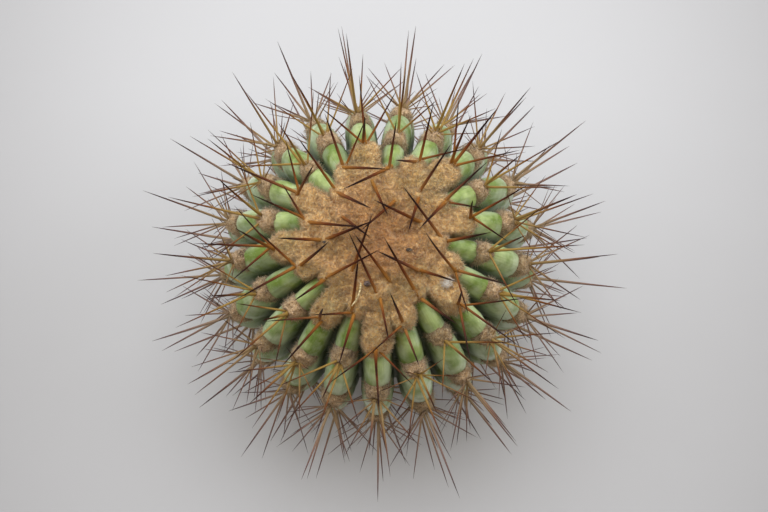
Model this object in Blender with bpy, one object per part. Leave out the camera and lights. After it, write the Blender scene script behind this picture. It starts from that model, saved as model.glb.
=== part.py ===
"""A bare-rooted globular cactus: a green stem with twenty-one ribs, a felted woolly crown and amber spines.

Lengths are in metres and +Z is up. The origin is the centre of the root neck's cut foot, which the plant
stands on. -Y is the side that faces the viewer, and bearings run clockwise from +Y, seen from above.

Areoles, the woolly pads that carry the spines, are numbered along their spiral from the crown down. Each one
stands eight ribs on from the one before it and a little lower, so it lies on one rib of twenty-one.
"""

import math
import random

import bmesh
import bpy
from mathutils import Matrix, Vector
from mathutils.bvhtree import BVHTree

# Stem, over the crests of its ribs
RIBS = 21
RIB_PITCH = 2 * math.pi / RIBS
FIRST_RIB_BEARING = math.radians(9.0)
STEM_RADIUS = 0.045
WAIST_HEIGHT = 0.040
CROWN_RISE = 0.034
FOOT_DROP = 0.038
FURROW_DEPTH = 0.0100
FURROW_ROUNDNESS = 2.2
FURROW_GROWTH = 1.5
FOOT_FADE = 2.5
RIB_SHARE = 0.88
SWELLING = 0.0014
NOTCH_SHARPNESS = 2.6
NOTCH_PINCH = 0.12

# Polar angles, from the stem's top round to its underside
STEM_TOP_ANGLE = math.radians(18.0)
STEM_FOOT_ANGLE = math.radians(156.0)

# Areoles along the spiral. Number 0 lies on the first rib, and higher numbers are older and lower.
SPIRAL_STEP = 8
AREOLE_ZERO_ANGLE = 0.769
AREOLE_STEP_ANGLE = 0.0199
AREOLE_STEP_GROWTH = 0.00026
LAST_GROWING_STEP = 28
YOUNGEST_AREOLE = -34
LAST_CROWN_AREOLE = -4
OLDEST_SPINY_AREOLE = 66
PAD_HALF_WIDTH = 0.0042
PAD_HALF_LENGTH = 0.0034
PAD_HEIGHT = 0.0024
PAD_FINENESS = 1

# Spines of an areole, the strongest first, as (bearing round the areole from straight down, lean from its
# normal, length, base radius) in degrees and metres
SPINES = (
    (180.0, 10.0, 0.0280, 0.00052),
    (8.0, 34.0, 0.0250, 0.00046),
    (-66.0, 48.0, 0.0200, 0.00038),
    (62.0, 50.0, 0.0200, 0.00038),
    (-28.0, 50.0, 0.0220, 0.00038),
    (24.0, 52.0, 0.0220, 0.00038),
    (-118.0, 52.0, 0.0150, 0.00030),
    (112.0, 54.0, 0.0150, 0.00030),
)
CROWN_RIM_SPINES = 4
YOUNG_STEM_SPINES = 4
AREOLES_PER_SPINE = 8
COARSE_SHARE = 3
BEARING_JITTER = math.radians(14.0)
LEAN_JITTER = math.radians(10.0)
SHORTEST_SHARE = 0.80
LONGEST_SHARE = 1.10
SPINE_SIDES = 3
SPINE_ROOT = 0.0014
SPINE_FOOT_SHIFT = 0.0012
SPINE_FOOT_HEIGHT = 0.7 * PAD_HEIGHT
LOWEST_TIP = 0.0015
YOUNG_LENGTH_SHARE = 0.66
INWARD_LEAN = math.radians(64.0)
YOUNG_TWIST = math.radians(26.0)
SPINE_SEED = 4163

# Crown wool
WOOL_EDGE_ANGLE = math.radians(23.0)
WOOL_INNER_ANGLE = math.radians(20.0)
WOOL_INNER_SHARE = 0.55
WOOL_LOBE_RADIUS = 0.0045
WOOL_THICKNESS = 0.0028
WOOL_LUMP_HEIGHT = 0.0016
WOOL_LUMP_RADIUS = 0.0036
YOUNG_LUMP_SHARE = 0.4
WOOL_EDGE_THINNING = 0.45
WOOL_EDGE_ROUNDNESS = 8
WOOL_SKIRT = 0.0016

# Root neck
NECK_FOOT_RADIUS = 0.0155
NECK_TOP_RADIUS = 0.0150
NECK_WOBBLE = 0.0011
NECK_LOBES = 5
NECK_SIDES = 25

# Coarseness of the solids, and the gap that keeps two of them apart
SIDES_PER_RIB = 4
STEM_RINGS = 20
WOOL_SIDES_PER_RIB = 4
WOOL_RINGS = 7
CLEARANCE = 0.0003
SPINE_CLEARANCE = 0.0004
COLUMN_CROWDING = 0.06
TURN_STEP = math.radians(4.0)
MOST_TURNS = 20
SHARP_ANGLE = math.radians(35.0)


def clear_scene():
    for thing in list(bpy.data.objects):
        bpy.data.objects.remove(thing, do_unlink=True)


def make_collection(name, hidden=False):
    collection = bpy.data.collections.new(name)
    bpy.context.scene.collection.children.link(collection)
    collection.hide_render = hidden
    return collection


def make_material(name, colour, roughness):
    material = bpy.data.materials.new(name)
    material.use_nodes = True
    shader = material.node_tree.nodes["Principled BSDF"]
    shader.inputs["Base Color"].default_value = (*colour, 1.0)
    shader.inputs["Roughness"].default_value = roughness
    shader.inputs["Metallic"].default_value = 0.0
    material.diffuse_color = (*colour, 1.0)
    return material


def make_object(name, shape, collection, material=None):
    """An object in the collection, from a bmesh that it uses up. In a hidden collection it shows as wires."""
    mesh = bpy.data.meshes.new(name)
    shape.to_mesh(mesh)
    shape.free()
    if material:
        mesh.materials.append(material)
    thing = bpy.data.objects.new(name, mesh)
    collection.objects.link(thing)
    if collection.hide_render:
        thing.hide_render = True
        thing.display_type = "WIRE"
    return thing


def profile(angle):
    """Radius and height of the rib crests at a polar angle from the top."""
    rise = CROWN_RISE if angle < math.pi / 2 else FOOT_DROP
    return STEM_RADIUS * math.sin(angle), WAIST_HEIGHT + rise * math.cos(angle)


def profile_normal(angle):
    """Outward and upward parts of the crest line's normal."""
    rise = CROWN_RISE if angle < math.pi / 2 else FOOT_DROP
    normal = Vector((rise * math.sin(angle), STEM_RADIUS * math.cos(angle)))
    return normal.normalized()


def outward(bearing):
    return Vector((math.sin(bearing), math.cos(bearing), 0.0))


def crest_point(angle, bearing, lift=0.0):
    """A point on the smooth envelope of the crests, raised along its normal."""
    radius, height = profile(angle)
    normal = profile_normal(angle)
    return outward(bearing) * (radius + lift * normal.x) + Vector((0.0, 0.0, height + lift * normal.y))


def areole_angle(number):
    """Polar angle of an areole: the steps grow with age, up to the last growing one."""
    growing = min(number, LAST_GROWING_STEP)
    angle = AREOLE_ZERO_ANGLE + growing * AREOLE_STEP_ANGLE + growing**2 * AREOLE_STEP_GROWTH / 2
    return angle + (number - growing) * (AREOLE_STEP_ANGLE + growing * AREOLE_STEP_GROWTH)


def areole_number(angle):
    """The areole number, with its fraction, that stands at a polar angle."""
    last = areole_angle(LAST_GROWING_STEP)
    if angle > last:
        step = AREOLE_STEP_ANGLE + LAST_GROWING_STEP * AREOLE_STEP_GROWTH
        return LAST_GROWING_STEP + (angle - last) / step
    root = AREOLE_STEP_ANGLE**2 + 2 * AREOLE_STEP_GROWTH * (angle - AREOLE_ZERO_ANGLE)
    return (math.sqrt(max(0.0, root)) - AREOLE_STEP_ANGLE) / AREOLE_STEP_GROWTH


def areole_bearing(number):
    return FIRST_RIB_BEARING + number * SPIRAL_STEP * RIB_PITCH


def rib_place(bearing):
    """The rib's number, and the place across it from -0.5 to 0.5."""
    place = (bearing - FIRST_RIB_BEARING) / RIB_PITCH
    rib = round(place)
    return rib % RIBS, place - rib


def relief(angle):
    """The ribs' relief: full down to the waist, from where it fades to a level foot."""
    below = max(0.0, angle - math.pi / 2) / (STEM_FOOT_ANGLE - math.pi / 2)
    return 1.0 - below**FOOT_FADE


def furrow_depth(angle):
    return FURROW_DEPTH * math.sin(min(angle, math.pi / 2)) ** FURROW_GROWTH * relief(angle)


def rib_lift(angle, bearing):
    """How far the ribbed skin lies over the crests' envelope: up between areoles, down in a furrow."""
    rib, across = rib_place(bearing)
    along = (areole_number(angle) - rib * SPIRAL_STEP) / RIBS
    notch = abs(2 * (along - math.floor(along)) - 1) ** NOTCH_SHARPNESS
    place = min(1.0, abs(2 * across) / RIB_SHARE * (1.0 + NOTCH_PINCH * notch))
    furrow = 1.0 - math.sqrt(1.0 - place**FURROW_ROUNDNESS)
    swelling = SWELLING * relief(angle) * (1.0 - notch)
    return swelling * (1.0 - furrow) - furrow_depth(angle) * furrow


def ribbed_stem(name, collection, grow=0.0):
    """The stem without its spines: a sphere reshaped by the crest profile and the rib formula."""
    shape = bmesh.new()
    bmesh.ops.create_uvsphere(shape, u_segments=RIBS * SIDES_PER_RIB, v_segments=STEM_RINGS + 1, radius=1.0)
    poles = [vertex for vertex in shape.verts if vertex.co.xy.length < 1e-4]
    bmesh.ops.delete(shape, geom=poles, context="VERTS")
    bmesh.ops.holes_fill(shape, edges=[edge for edge in shape.edges if edge.is_boundary], sides=0)
    for vertex in shape.verts:
        ring = round(math.acos(vertex.co.z) / math.pi * (STEM_RINGS + 1)) - 1
        angle = STEM_TOP_ANGLE + (STEM_FOOT_ANGLE - STEM_TOP_ANGLE) * ring / (STEM_RINGS - 1)
        column = math.atan2(vertex.co.x, vertex.co.y) / RIB_PITCH
        column -= COLUMN_CROWDING * math.sin(2 * math.pi * column)
        bearing = FIRST_RIB_BEARING + (column - 0.5) * RIB_PITCH
        vertex.co = crest_point(angle, bearing, rib_lift(angle, bearing) + grow)
    wool_foot = profile(lobe_reach(LAST_CROWN_AREOLE, 0.0))[1] - 2 * FURROW_DEPTH
    under_wool = [face for face in shape.faces if face.calc_center_median().z > wool_foot]
    bmesh.ops.triangulate(shape, faces=under_wool)
    bmesh.ops.recalc_face_normals(shape, faces=shape.faces)
    return make_object(name, shape, collection)


def lump_growth(number):
    """Size of an areole's mound of wool: 1 at the wool's edge, less on younger areoles."""
    return 1.0 - (1.0 - YOUNG_LUMP_SHARE) * youth(number)


def lobe_reach(number, across):
    """Polar angle of the round rim of an areole's wool, at a place across it from -1 to 1."""
    angle = areole_angle(number)
    meridian = math.hypot(STEM_RADIUS * math.cos(angle), CROWN_RISE * math.sin(angle))
    return angle + WOOL_LOBE_RADIUS * lump_growth(number) / meridian * math.sqrt(1.0 - across**2)


def wool_edge(bearing):
    """Polar angle of the crown wool's edge: a round patch, with a round lobe over each areole at its rim."""
    edge = WOOL_EDGE_ANGLE
    for number in range(YOUNGEST_AREOLE, LAST_CROWN_AREOLE + 1):
        aside = (bearing - areole_bearing(number) + math.pi) % (2 * math.pi) - math.pi
        radius = WOOL_LOBE_RADIUS * lump_growth(number)
        across = aside * STEM_RADIUS * math.sin(areole_angle(number)) / radius
        if abs(across) < 1.0:
            edge = max(edge, lobe_reach(number, across))
    return edge


def wool_lift(angle, bearing):
    """Height of the wool over the crests: level, with a mound over each areole, larger on older ones."""
    here = crest_point(angle, bearing)
    lift = WOOL_THICKNESS
    for number in range(YOUNGEST_AREOLE, LAST_CROWN_AREOLE + 1):
        areole = crest_point(areole_angle(number), areole_bearing(number))
        grown = lump_growth(number)
        away = (here - areole).length / (WOOL_LUMP_RADIUS * grown)
        lump = WOOL_LUMP_HEIGHT * grown * math.cos(min(math.pi / 2, away))
        lift = max(lift, WOOL_THICKNESS + lump)
    return lift


def wool_ring_angle(share, edge):
    """Polar angle this far out on the wool's cap: even rings inside, then rings that follow the edge."""
    if share < WOOL_INNER_SHARE:
        return WOOL_INNER_ANGLE * share / WOOL_INNER_SHARE
    past = (share - WOOL_INNER_SHARE) / (1.0 - WOOL_INNER_SHARE)
    return WOOL_INNER_ANGLE + (edge - WOOL_INNER_ANGLE) * past


def crown_wool(collection):
    """The felt on the crown: a lobed cap, cut underneath by the stem it lies on."""
    shape = bmesh.new()
    sides = RIBS * WOOL_SIDES_PER_RIB
    bmesh.ops.create_uvsphere(shape, u_segments=sides, v_segments=2 * (WOOL_RINGS + 1), radius=1.0)
    below = [v for v in shape.verts if v.co.z < -0.01]
    bmesh.ops.delete(shape, geom=below, context="VERTS")
    bmesh.ops.holes_fill(shape, edges=[e for e in shape.edges if e.is_boundary], sides=0)
    for vertex in shape.verts:
        share = math.acos(min(1.0, vertex.co.z)) / (math.pi / 2)
        bearing = math.atan2(vertex.co.x, vertex.co.y) + FIRST_RIB_BEARING
        on_skirt = share > 0.999
        reach = min(1.0, share * (WOOL_RINGS + 1) / WOOL_RINGS)
        angle = max(1e-4, wool_ring_angle(reach, wool_edge(bearing)))
        thinning = 1.0 - WOOL_EDGE_THINNING * reach**WOOL_EDGE_ROUNDNESS
        vertex.co = crest_point(angle, bearing, wool_lift(angle, bearing) * thinning)
        if on_skirt:
            vertex.co = crest_point(angle, bearing, -WOOL_SKIRT - furrow_depth(angle))
    bmesh.ops.recalc_face_normals(shape, faces=shape.faces)
    wool = make_object("crown_wool", shape, collection)
    cutters = make_collection("cutters", hidden=True)
    ribbed_stem("stem_clearance", cutters, grow=CLEARANCE)
    add_pads(range(LAST_CROWN_AREOLE + 1, LAST_CROWN_AREOLE + RIBS), cutters, grow=CLEARANCE)
    join_solids(wool, cutters, "DIFFERENCE", "EXACT")
    return wool


def join_solids(target, solids, operation, solver):
    """Fuses the collection's solids with the target, or cuts them from it, and removes them."""
    modifier = target.modifiers.new(operation.lower(), "BOOLEAN")
    modifier.operation = operation
    modifier.solver = solver
    modifier.operand_type = "COLLECTION"
    modifier.collection = solids
    bpy.context.view_layer.update()
    bpy.context.view_layer.objects.active = target
    bpy.ops.object.modifier_apply(modifier=modifier.name)
    for thing in list(solids.objects):
        bpy.data.objects.remove(thing, do_unlink=True)
    bpy.data.collections.remove(solids)


def areole_axes(number):
    """The areole's outward normal, and the direction down its rib."""
    angle, bearing = areole_angle(number), areole_bearing(number)
    normal = profile_normal(angle)
    away = outward(bearing)
    outer = away * normal.x + Vector((0.0, 0.0, normal.y))
    down = away * normal.y - Vector((0.0, 0.0, normal.x))
    return outer, down


def spine_direction(outer, down, bearing, lean):
    """A direction leaning from the normal towards a bearing round it, counted from straight down the rib."""
    side = outer.cross(down)
    towards = down * math.cos(bearing) + side * math.sin(bearing)
    return (outer * math.cos(lean) + towards * math.sin(lean)).normalized()


def youth(number):
    """1 for the areole at the growing point, and 0 from the wool's edge on down."""
    return max(0.0, (LAST_CROWN_AREOLE - number) / (LAST_CROWN_AREOLE - YOUNGEST_AREOLE))


def spines_of(number):
    """Direction, length and base radius of each spine of an areole. The youngest areole has only one."""
    draw = random.Random(SPINE_SEED + number)
    outer, down = areole_axes(number)
    young = youth(number)
    if number <= LAST_CROWN_AREOLE:
        count = 1 + round((CROWN_RIM_SPINES - 1) * (1.0 - young))
    else:
        count = YOUNG_STEM_SPINES + (number - LAST_CROWN_AREOLE) // AREOLES_PER_SPINE
    for order, (bearing, lean, length, radius) in enumerate(SPINES[:count]):
        bearing = math.radians(bearing) + draw.uniform(-BEARING_JITTER, BEARING_JITTER)
        lean = math.radians(lean) + draw.uniform(-LEAN_JITTER, LEAN_JITTER)
        length *= draw.uniform(SHORTEST_SHARE, LONGEST_SHARE)
        if order == 0 and young:
            inward = min(1.0, 2 * young)
            lean += (INWARD_LEAN - lean) * inward
            bearing += draw.uniform(-YOUNG_TWIST, YOUNG_TWIST) * inward
        length *= 1.0 - (1.0 - YOUNG_LENGTH_SHARE) * young
        yield spine_direction(outer, down, bearing, lean), length, radius


def needle(name, root, direction, length, radius, collection):
    """One three-sided spine, from its root to its tip."""
    shape = bmesh.new()
    turn = Vector((0.0, 0.0, 1.0)).rotation_difference(direction).to_matrix().to_4x4()
    place = Matrix.Translation(root + direction * length / 2) @ turn
    bmesh.ops.create_cone(shape, cap_ends=True, segments=SPINE_SIDES, radius1=radius, radius2=0.0,
                          depth=length, matrix=place)
    return make_object(name, shape, collection)


def crosses(root, direction, length, radius, obstacles):
    """Whether a spine, with its clearance round it, would touch one of the obstacles' surfaces."""
    shape = bmesh.new()
    turn = Vector((0.0, 0.0, 1.0)).rotation_difference(direction).to_matrix().to_4x4()
    place = Matrix.Translation(root + direction * length / 2) @ turn
    wide = radius + SPINE_CLEARANCE
    bmesh.ops.create_cone(shape, cap_ends=True, segments=SPINE_SIDES, radius1=2 * wide,
                          radius2=2 * SPINE_CLEARANCE, depth=length, matrix=place)
    spine = BVHTree.FromBMesh(shape)
    found = any(spine.overlap(obstacle) for obstacle in obstacles)
    shape.free()
    return found


def off_the_ground(root, direction, length):
    """The direction, raised where needed so that the spine's tip clears the ground."""
    lowest = (LOWEST_TIP - root.z) / length
    if direction.z >= lowest:
        return direction
    level = Vector((direction.x, direction.y, 0.0)).normalized()
    return level * math.sqrt(1.0 - lowest**2) + Vector((0.0, 0.0, lowest))


def bent_clear(root, direction, length, radius, outer, obstacles):
    """The spine's direction, turned towards the areole's normal until it clears the obstacles, or None."""
    direction = off_the_ground(root, direction, length)
    for _ in range(MOST_TURNS):
        if not crosses(root, direction, length, radius, obstacles):
            return direction
        share = min(1.0, TURN_STEP / max(direction.angle(outer), TURN_STEP))
        direction = direction.slerp(outer, share)
    return None


def surface_tree(thing):
    mesh = thing.data
    return BVHTree.FromPolygons([v.co for v in mesh.vertices], [list(p.vertices) for p in mesh.polygons])


def add_needles(numbers, lift, obstacles, repeats):
    """The first spine of each areole and a share of the rest, rooted at this height over the crests."""
    for number in numbers:
        outer, down = areole_axes(number)
        top = crest_point(areole_angle(number), areole_bearing(number), lift) + down * SPINE_FOOT_SHIFT
        for order, (direction, length, radius) in enumerate(spines_of(number)):
            if order and (number + order) % COARSE_SHARE:
                continue
            direction = bent_clear(top, direction, length, radius, outer, obstacles)
            if direction is None:
                continue
            root = top - direction * SPINE_ROOT
            needle(f"spine_{number}_{order}", root, direction, length + SPINE_ROOT, radius, repeats)


def add_pads(numbers, repeats, grow=0.0):
    """The felted areole pads, as low domes on the rib crests, wider across the rib than along it."""
    for number in numbers:
        outer, down = areole_axes(number)
        shape = bmesh.new()
        turn = Matrix((outer.cross(down), -down, outer)).transposed().to_4x4()
        half_sizes = [size + 2 * grow for size in (PAD_HALF_WIDTH, PAD_HALF_LENGTH, PAD_HEIGHT)]
        centre = crest_point(areole_angle(number), areole_bearing(number))
        place = Matrix.Translation(centre) @ turn @ Matrix.Diagonal((*half_sizes, 1.0))
        bmesh.ops.create_icosphere(shape, subdivisions=PAD_FINENESS, radius=1.0, matrix=place)
        make_object(f"pad_{number}", shape, repeats)


def root_neck(collection, material):
    """The short woody neck where the roots were trimmed, with a flat cut foot."""
    shape = bmesh.new()
    height = profile(STEM_FOOT_ANGLE)[1] - CLEARANCE
    bmesh.ops.create_cone(shape, cap_ends=True, segments=NECK_SIDES, radius1=NECK_FOOT_RADIUS,
                          radius2=NECK_TOP_RADIUS, depth=height,
                          matrix=Matrix.Translation((0.0, 0.0, height / 2)))
    for vertex in shape.verts:
        bearing = math.atan2(vertex.co.x, vertex.co.y)
        radius = vertex.co.xy.length + NECK_WOBBLE * math.cos(NECK_LOBES * bearing)
        vertex.co = outward(bearing) * radius + Vector((0.0, 0.0, vertex.co.z))
    return make_object("root_neck", shape, collection, material)


def shade(thing):
    thing.data.shade_smooth()
    thing.data.set_sharp_from_angle(angle=SHARP_ANGLE)


def build():
    clear_scene()
    plant = make_collection("copiapoa_cactus")

    green = make_material("waxy_green_skin", (0.19, 0.33, 0.12), 0.45)
    felt = make_material("tan_felt", (0.46, 0.27, 0.13), 0.95)
    bark = make_material("root_bark", (0.20, 0.13, 0.08), 0.90)

    neck = root_neck(plant, bark)
    stem = ribbed_stem("ribbed_stem", plant)
    wool = crown_wool(plant)
    stem.data.materials.append(green)
    wool.data.materials.append(felt)

    stem_areoles = range(LAST_CROWN_AREOLE + 1, OLDEST_SPINY_AREOLE + 1)
    repeats = make_collection("stem_repeats")
    add_pads(stem_areoles, repeats)
    add_needles(stem_areoles, SPINE_FOOT_HEIGHT, (surface_tree(wool), surface_tree(neck)), repeats)
    join_solids(stem, repeats, "UNION", "EXACT")

    crown_areoles = range(YOUNGEST_AREOLE, LAST_CROWN_AREOLE + 1)
    repeats = make_collection("crown_repeats")
    add_needles(crown_areoles, WOOL_THICKNESS, (surface_tree(stem),), repeats)
    join_solids(wool, repeats, "UNION", "MANIFOLD")

    for thing in (stem, wool, neck):
        shade(thing)


build()
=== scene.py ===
"""Looks of a bare-rooted globular cactus: waxy ribbed skin, woolly crown and areoles, spines, corky neck.

The plant stands on the frame's origin, +Z up, and -Y faces the viewer. Bearings run clockwise from +Y, seen
from above, and a polar angle runs from the stem's top round to its underside. Areoles are numbered along
their spiral: each one stands eight ribs on from the last, and higher numbers are older and lower.
"""

import math
import random

import bpy
import numpy as np
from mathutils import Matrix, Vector, noise


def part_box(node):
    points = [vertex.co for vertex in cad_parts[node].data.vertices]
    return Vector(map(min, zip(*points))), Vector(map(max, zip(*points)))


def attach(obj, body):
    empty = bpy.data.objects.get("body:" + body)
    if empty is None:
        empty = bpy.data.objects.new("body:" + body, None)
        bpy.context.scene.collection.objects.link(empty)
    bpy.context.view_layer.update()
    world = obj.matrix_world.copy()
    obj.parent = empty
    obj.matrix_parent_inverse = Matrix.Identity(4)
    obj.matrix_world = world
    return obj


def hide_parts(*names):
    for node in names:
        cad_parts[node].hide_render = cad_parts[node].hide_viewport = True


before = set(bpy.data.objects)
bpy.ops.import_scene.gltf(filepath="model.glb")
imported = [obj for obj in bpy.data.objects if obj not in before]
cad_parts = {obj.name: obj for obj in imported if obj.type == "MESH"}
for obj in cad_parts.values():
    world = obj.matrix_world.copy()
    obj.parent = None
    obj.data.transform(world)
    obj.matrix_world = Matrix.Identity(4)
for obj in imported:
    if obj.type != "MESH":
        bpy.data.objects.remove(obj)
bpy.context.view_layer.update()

bl_info = {
    "name": "Globular cactus",
    "version": (1, 0, 0),
    "blender": (4, 5, 0),
    "location": "3D View > Sidebar > Cactus",
    "description": "Dresses a ribbed globular cactus with skin, felt and spines",
    "category": "Add Mesh",
}

# Growth rule
RIBS = 21
RIB_PITCH = 2 * math.pi / RIBS
FIRST_RIB_BEARING = math.radians(9.0)
SPIRAL_STEP = 8
AREOLE_ZERO_ANGLE = 0.769
AREOLE_STEP_ANGLE = 0.0199
AREOLE_STEP_GROWTH = 0.00026
LAST_GROWING_STEP = 28
YOUNGEST_AREOLE = -34
LAST_CROWN_AREOLE = -4
FIRST_ADULT_AREOLE = 8
FIRST_LOWER_AREOLE = 25
OLDEST_SPINY_AREOLE = 66
CROWN_AREOLES = range(YOUNGEST_AREOLE, LAST_CROWN_AREOLE + 1)
STEM_AREOLES = range(LAST_CROWN_AREOLE + 1, OLDEST_SPINY_AREOLE + 1)
LOWER_AREOLES = range(FIRST_LOWER_AREOLE, OLDEST_SPINY_AREOLE + 1)
ADULT_AREOLES = range(FIRST_ADULT_AREOLE, OLDEST_SPINY_AREOLE + 1)
STEM_TOP_ANGLE = math.radians(18.0)
STEM_FOOT_ANGLE = math.radians(156.0)

# Ribs
FURROW_ROUNDNESS = 2.2
FURROW_GROWTH = 1.5
FOOT_FADE = 2.5
RIB_SHARE = 0.88
NOTCH_PINCH = 0.12
NOTCH_SHARPNESS = 2.6

# Skin. All waves are rows of (height, size of a bump, seed).
SKIN_COLUMNS = 14
SKIN_RINGS = 150
CAP_RINGS = 2
CAP_SHARE = 0.6
EVEN_COLUMNS = 0.45
CROWDED_COLUMNS = 0.55
SKIN_WAVES = ((0.0003, 0.007, 1), (0.00014, 0.002, 2))
STREAK_SCALES = (26.0, 3.2, 5.3)

# Areole pads, with places on a pad from 0 in its middle to 1 at its rim
PAD_SEED = 900
PAD_COLUMNS = 22
PAD_RINGS = 18
PAD_WIDTHS = (0.9, 1.08)
PAD_LENGTHS = (0.70, 0.86)
PAD_RAGGEDNESS = 0.14
PAD_RAG_SIZE = 0.45
PAD_ROUNDNESS = 2.4
PAD_TILT = 0.18
PAD_LEVELLING = 0.6
PAD_ROOT = 0.0006
PAD_SUNK = 0.0012
PAD_WAVES = ((0.00080, 0.0019, 3), (0.00070, 0.0008, 4))
# Spine pit at a pad's lower end: a dent in the felt, and painted shade that darkens the felt there
SOCKET_PLACE = 0.42
SOCKET_RADIUS = 0.24
SOCKET_DEPTH = 0.0008
PIT_PAINTED_SHADE = 0.75
# Pad rim darkened: partly dirt, partly painted contact shadow against the skin
RIM_FROM = 0.74
RIM_WIDTH = 0.22
RIM_PAINTED_SHADOW_AND_DIRT = 0.55

# Crown wool, with the waves of its edge in degrees
WOOL_EDGE_ANGLE = math.radians(23.0)
WOOL_INNER_ANGLE = math.radians(20.0)
WOOL_INNER_SHARE = 0.55
WOOL_LOBE_RADIUS = 0.0045
WOOL_LUMP_RADIUS = 0.0036
YOUNG_LUMP_SHARE = 0.4
WOOL_EDGE_THINNING = 0.45
WOOL_EDGE_ROUNDNESS = 8
ROUNDED_FROM = 0.92
WOOL_ROOT = 0.0008
WOOL_COLUMNS = 16
WOOL_RINGS = 220
WOOL_RING_POWER = 0.8
EDGE_WAVES = ((1.6, 0.0032, 10), (1.2, 0.0012, 11))
WOOL_WAVES = ((0.00070, 0.0036, 5), (0.00050, 0.0017, 6), (0.00022, 0.0008, 7))

# Loose fibres, as (piece, felt that they grow from, node, count, colour, pale and dark)
FIBRES = (
    ("crown_fibres", "crown_felt", "crown_wool", 49000, "EABE80", "FFECBA", "B07A40"),
    ("areole_fibres", "areole_pads", "ribbed_stem", 36000, "CCAA7C", "F0D8B0", "80603C"),
)
FIBRE_SEED = 77
FIBRE_UPRIGHT = 0.40
FIBRE_SCATTER = 0.80
FIBRE_LENGTHS = (0.5, 1.5)
FIBRE_WIDTHS = (0.7, 1.2)
FIBRE_ROOT = 0.0002
YOUNG_WOOL_RADIUS = 0.030

# Spines of an areole, the strongest first, as (bearing round the areole from straight down, lean from its
# normal, length, base radius) in degrees and metres
SPINES = (
    (180.0, 10.0, 0.0280, 0.00052),
    (8.0, 34.0, 0.0250, 0.00046),
    (-66.0, 48.0, 0.0200, 0.00038),
    (62.0, 50.0, 0.0200, 0.00038),
    (-28.0, 50.0, 0.0220, 0.00038),
    (24.0, 52.0, 0.0220, 0.00038),
    (-118.0, 52.0, 0.0150, 0.00030),
    (112.0, 54.0, 0.0150, 0.00030),
)
# Thin spines round an adult areole, as above
THIN_SPINES = (
    (-152.0, 58.0, 0.0130, 0.00026),
    (150.0, 58.0, 0.0130, 0.00026),
    (-88.0, 64.0, 0.0145, 0.00026),
    (84.0, 64.0, 0.0145, 0.00026),
)
SPINE_SEED = 4163
THIN_SEED = 700
CROWN_RIM_SPINES = 4
YOUNG_STEM_SPINES = 4
AREOLES_PER_SPINE = 8
BEARING_JITTER = math.radians(14.0)
LEAN_JITTER = math.radians(10.0)
SHORTEST_SHARE = 0.80
LONGEST_SHARE = 1.10
YOUNG_LENGTH_SHARE = 0.66
YOUNG_THICKNESS = 1.2
YOUNG_TWIST = math.radians(26.0)
INWARD_LEAN = math.radians(64.0)
LOWEST_TIP = 0.0015
SPINE_FOOT_SHIFT = 0.0012
SPINE_FOOT_HEIGHT = 0.7
SPINE_SPREAD = 0.00072
SPINE_ROOT = 0.0012
SPINE_SIDES = 6
SPINE_PARTS = 7
SPINE_TAPER = 0.55
SPINE_TIP = 0.04
BULB_SWELLING = 0.12
BULB_FADE = 30
SPINE_WIDTHS = (0.85, 1.1)
BOWS = (-0.05, 0.07)
STRAIGHT_FOOT = 0.3
DARKENING = (-0.12, 0.16)
MOST_WEATHERED = 0.9
WEATHERING_AREOLES = 22
TONE_JITTER = 0.1

# Litter: how far it lies to the right, to the back and over the wool, and each grain's half sizes
GRAINS = (
    ("seed", "dark_seed_coat", (-0.0030, -0.0132, 0.0003), (0.0009, 0.0008, 0.0007)),
    ("grit_right", "dark_grit", (0.0082, -0.0042, 0.0003), (0.0009, 0.0005, 0.0005)),
    ("grit_left", "dark_grit", (-0.0142, -0.0020, 0.0003), (0.0005, 0.0004, 0.0004)),
)
GRAIN_WAVES = ((0.22, 0.6, 12),)
STRAW_ROOT = (-0.0046, -0.0130, 0.0010)
STRAW_TIP = (-0.0066, -0.0184, 0.0026)
STRAW_RADIUS = 0.00030
STRAW_TIP_SHARE = 0.7
STRAW_BOW = 0.0007
FLUFF_PLACE = (0.0180, -0.0122, 0.0008)
FLUFF_SPREAD = (0.0008, 0.0007, 0.0002)
FLUFF_FLATNESS = (1.0, 1.0, 0.35)
FLUFF_SEED = 31
FLUFF_HAIRS = 300
FLUFF_ROOT = 0.0006
FLUFF_RADII = (0.00005, 0.00008)
FLUFF_LENGTHS = (0.0008, 0.0018)

# Root neck
NECK_SIDES = 96
NECK_PARTS = 8
NECK_RADIUS = 0.0152
NECK_LOBES = 5
NECK_LOBE_HEIGHT = 0.0010
NECK_WAVES = ((0.0006, 0.004, 8), (0.0003, 0.0012, 9))

# Stage, with its lamps as (name, place, width, watts)
FLOOR_WIDTH = 3.0
ROOM_LIGHT = 0.350
LAMPS = (
    ("window", (-0.05, 0.62, 0.84), 1.3, 11.6),
    ("right", (0.95, 0.20, 0.60), 0.8, 5.4),
    ("left", (-0.95, 0.20, 0.60), 0.8, 4.0),
)
LAMP_AIM = (0.0, 0.15, 0.0)
CAMERA_ELEVATION = math.radians(77.6)
CAMERA_DISTANCE = 0.544
CAMERA_AIM = (0.0016, 0.0018)

# Places in the noise that keep two seeds apart
NOISE_STEPS = (7.3, 3.1, 5.7)

# Ends of a mask: where a stain is left out, and where it shows in full
BLACK = "000000"
WHITE = "FFFFFF"


def metres(name, description, default):
    """A length that a user can change."""
    return bpy.props.FloatProperty(name=name, description=description, default=default, unit="LENGTH")


def tint(name, description, default):
    """A colour that a user can change, as an sRGB hex value."""
    return bpy.props.StringProperty(name=name, description=f"Colour of {description}, as an sRGB hex value",
                                    default=default)


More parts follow.
